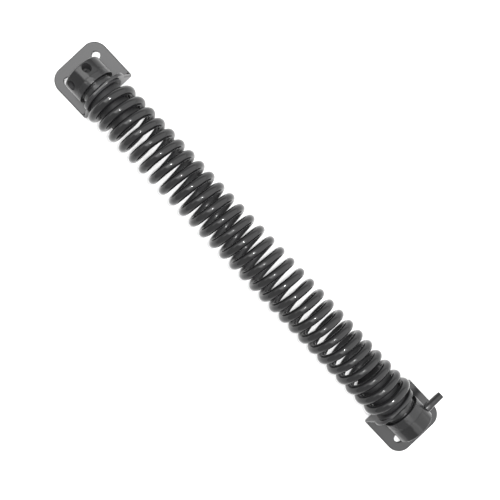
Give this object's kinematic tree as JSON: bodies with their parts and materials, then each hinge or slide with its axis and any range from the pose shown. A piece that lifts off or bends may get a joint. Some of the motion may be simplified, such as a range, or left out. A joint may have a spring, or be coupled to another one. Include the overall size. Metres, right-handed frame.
{
  "type": "gate spring closer",
  "caption": "Coil torsion spring between two L-shaped screw-on brackets, with a drum behind each flange and a locking pin.",
  "frame": {"origin": "midway between the two screw holes of the post bracket, on its mounting face", "axes": "+X along the spring to the gate end, +Z away from the post and the gate, both plates in the plane z = 0"},
  "size_m": [0.292, 0.0418, 0.0299],
  "materials": {
    "gloss_paint": "gloss black paint",
    "plain_steel": "turned steel"
  },
  "bodies": {
    "post_end": {"closing_spring": "gloss_paint", "post_bracket": "gloss_paint", "post_spindle": "gloss_paint", "post_thrust_washer": "gloss_paint", "post_thrust_collar": "gloss_paint", "post_drum": "gloss_paint", "post_rivet_washer": "gloss_paint", "post_dowel": "plain_steel"},
    "gate_drum_set": {"gate_spindle": "gloss_paint", "gate_thrust_washer": "gloss_paint", "gate_thrust_collar": "gloss_paint", "gate_drum": "gloss_paint", "gate_rivet_washer": "gloss_paint"},
    "gate_side": {"gate_bracket": "gloss_paint"},
    "pin": {"locking_pin": "gloss_paint"}
  },
  "joints": [
    {"name": "spring_wind", "type": "hinge", "parent": "post_end", "child": "gate_drum_set", "pos_m": [0.2538, -0.0015, 0.0158], "axis": [1, 0, 0], "range_deg": [-200, 0], "stiffness_Nm_per_rad": 3.2},
    {"name": "bracket_turn", "type": "hinge", "parent": "gate_drum_set", "child": "gate_side", "pos_m": [0.2538, -0.0015, 0.0158], "axis": [1, 0, 0], "range_deg": [-209, 33]},
    {"name": "pin_draw", "type": "slide", "parent": "gate_drum_set", "child": "pin", "axis": [0, 1, 0], "range_m": [0, 0.008]}
  ]
}
